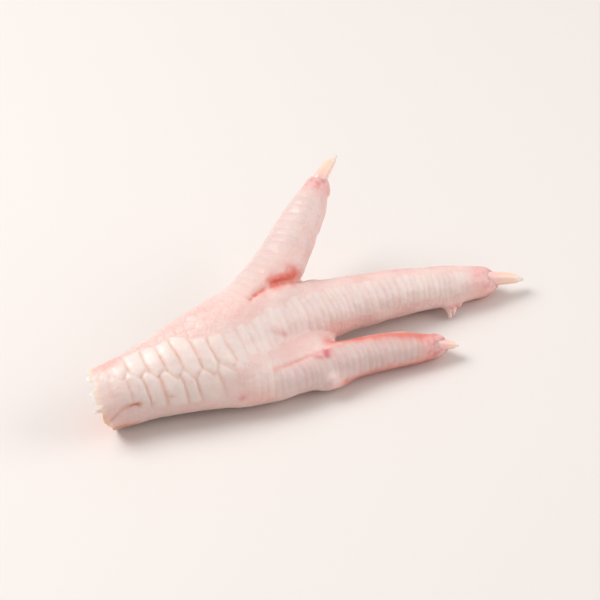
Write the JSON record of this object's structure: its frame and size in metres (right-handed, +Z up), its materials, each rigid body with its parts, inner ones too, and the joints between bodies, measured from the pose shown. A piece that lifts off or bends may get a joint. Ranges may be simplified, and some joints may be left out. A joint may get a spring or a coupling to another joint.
{
  "type": "raw chicken foot",
  "caption": "Raw, cleaned chicken foot cut off below the hock, lying with its scaly back up: shank, palm, spread front toes, hind toe and claws.",
  "frame": {"origin": "middle of the bounding box at the level of the surface that the foot lies on", "axes": "+X runs from the cut shank to the middle toe's claw, +Z up, -Y towards the outer toe"},
  "size_m": [0.1257, 0.0548, 0.0333],
  "materials": {
    "skin": "pale pinkish-white raw skin, moist and glossy on the scales, pinker in the webs and creases",
    "flesh": "wet red-pink tissue with pale strands, seen in the cut",
    "claw": "ivory, slightly translucent horn with a pink root"
  },
  "bodies": {
    "root": {"foot": "skin", "shank_core": "flesh", "claw_middle": "claw", "claw_inner": "claw", "claw_outer": "claw", "claw_hind": "claw"}
  },
  "joints": []
}
